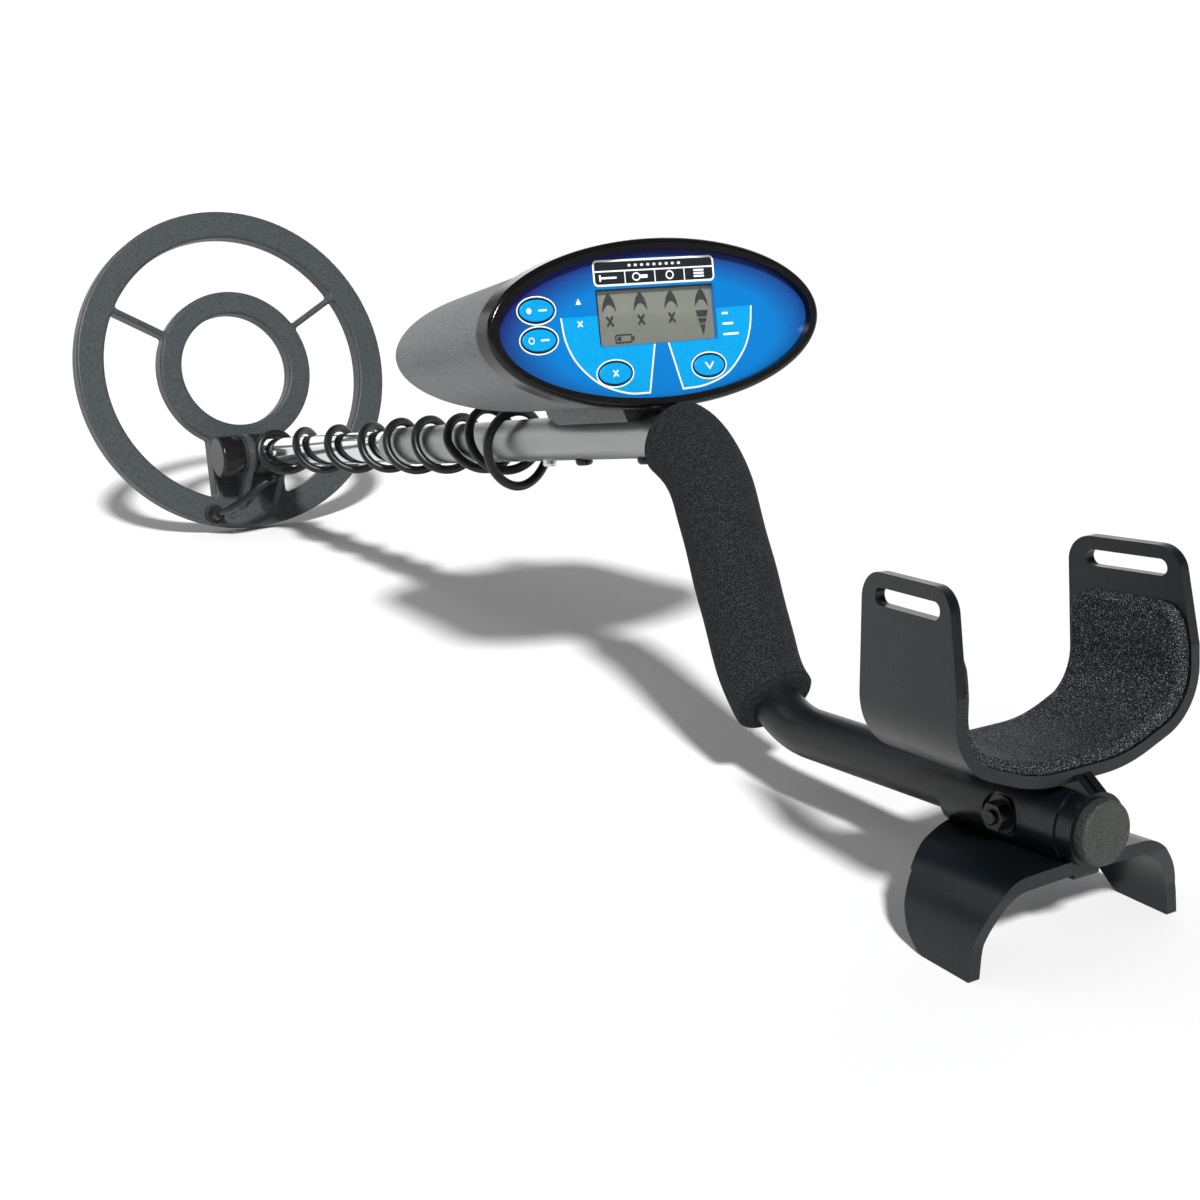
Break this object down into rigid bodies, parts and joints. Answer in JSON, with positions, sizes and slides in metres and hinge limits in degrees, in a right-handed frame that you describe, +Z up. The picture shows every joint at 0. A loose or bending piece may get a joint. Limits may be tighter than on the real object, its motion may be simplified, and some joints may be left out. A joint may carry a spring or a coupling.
{
  "type": "metal detector",
  "caption": "Hand-held metal detector with a round open search coil on a telescoping S-shaped rod, oval control box, foam grip and padded arm cradle with a stand.",
  "frame": {"origin": "centre of the bounding box at floor level, with the detector resting on its coil edge and its two stand feet", "axes": "+Z up, +X along the rod from the search coil to the arm rest, Y = 0 is the middle plane"},
  "size_m": [0.7705, 0.2032, 0.2084],
  "materials": {
    "coil_plastic": "dark blue-grey moulded plastic with a fine speckled grain",
    "winding_copper": "enamelled copper wire potted in resin",
    "black_plastic": "satin black moulded plastic",
    "knob_plastic": "black semi-gloss moulded plastic",
    "washer_rubber": "black rubber",
    "chrome_tube": "bright chrome plate",
    "silver_tube": "satin silver anodised",
    "black_tube": "satin black powder coat",
    "foam": "closed-cell foam with a fine open grain",
    "housing_grey": "mid grey moulded plastic with a fine grain",
    "bezel_black": "gloss black moulded plastic",
    "face_blue": null,
    "display_glass": "clear display window",
    "display_grey": "grey liquid crystal display",
    "key_blue": "blue dome key with a white and black ring",
    "board_green": "green circuit board",
    "battery_case": "plain dark battery jacket",
    "steel": "plated steel",
    "cable_black": "black flexible cable jacket",
    "pad_black": "sparkling speckled foam pad",
    "cap_rubber": "grey-green textured rubber"
  },
  "bodies": {
    "upper": {"upper_tube": "silver_tube", "rear_tube": "black_tube", "foam_grip": "foam", "saddle": "housing_grey", "mount_screw_front": "black_plastic", "mount_screw_rear": "black_plastic", "housing_shell": "housing_grey", "bezel": "bezel_black", "face_panel": "face_blue", "display_window": "display_glass", "display_module": "display_grey", "circuit_board": "board_green", "battery_box": "black_plastic", "battery_near": "battery_case", "battery_far": "battery_case", "speaker": "black_plastic", "coil_socket": "steel", "coil_plug": "black_plastic", "headphone_jack": "black_plastic", "arm_rest": "black_plastic", "arm_pad": "pad_black", "end_cap": "cap_rubber", "stand_bolt": "black_plastic", "stand_washer": "black_plastic", "stand_nut": "black_plastic", "cable_wraps": "cable_black"},
    "lower_stem": {"stem_tip": "black_plastic", "stem_pin": "steel", "lower_tube": "chrome_tube", "spring_leaf": "steel", "friction_washer_near": "washer_rubber", "friction_washer_far": "washer_rubber"},
    "coil": {"coil_shell": "coil_plastic", "coil_cover": "coil_plastic", "transmit_winding": "winding_copper", "receive_winding": "winding_copper", "coil_gland": "black_plastic", "coil_screw": "coil_plastic", "clevis_bolt": "black_plastic", "knob_washer": "washer_rubber", "cable_tail": "cable_black"},
    "knob": {"clamp_knob": "knob_plastic"},
    "button": {"spring_button": "steel"},
    "on_key": {"key_on": "key_blue"},
    "off_key": {"key_off": "key_blue"},
    "reject_key": {"key_reject": "key_blue"},
    "depth_key": {"key_depth": "key_blue"},
    "door": {"battery_door": "housing_grey"}
  },
  "joints": [
    {"name": "stem_slide", "type": "slide", "parent": "upper", "child": "lower_stem", "axis": [-0.9851, 0, -0.1719], "range_m": [0, 0.12], "deforming": ["cable_wraps"]},
    {"name": "coil_tilt", "type": "hinge", "parent": "lower_stem", "child": "coil", "pos_m": [-0.30965, 0, 0.0516], "axis": [0, -1, 0], "range_deg": [-15, 65], "deforming": ["cable_tail"]},
    {"name": "knob_turn", "type": "hinge", "parent": "coil", "child": "knob", "pos_m": [-0.30965, 0, 0.0516], "axis": [0, -1, 0], "continuous": true},
    {"name": "button_press", "type": "slide", "parent": "lower_stem", "child": "button", "axis": [-0.1719, 0, 0.9851], "range_m": [0, 0.003], "stiffness_N_per_m": 600, "deforming": ["spring_leaf"]},
    {"name": "on_key_press", "type": "slide", "parent": "upper", "child": "on_key", "axis": [-0.9851, 0, -0.1719], "range_m": [0, 0.0004], "stiffness_N_per_m": 1500},
    {"name": "off_key_press", "type": "slide", "parent": "upper", "child": "off_key", "axis": [-0.9851, 0, -0.1719], "range_m": [0, 0.0004], "stiffness_N_per_m": 1500},
    {"name": "reject_key_press", "type": "slide", "parent": "upper", "child": "reject_key", "axis": [-0.9851, 0, -0.1719], "range_m": [0, 0.0004], "stiffness_N_per_m": 1500},
    {"name": "depth_key_press", "type": "slide", "parent": "upper", "child": "depth_key", "axis": [-0.9851, 0, -0.1719], "range_m": [0, 0.0004], "stiffness_N_per_m": 1500},
    {"name": "battery_door_hinge", "type": "hinge", "parent": "upper", "child": "door", "pos_m": [0.03491, 0, 0.14219], "axis": [0, -1, 0], "range_deg": [0, 100]}
  ]
}
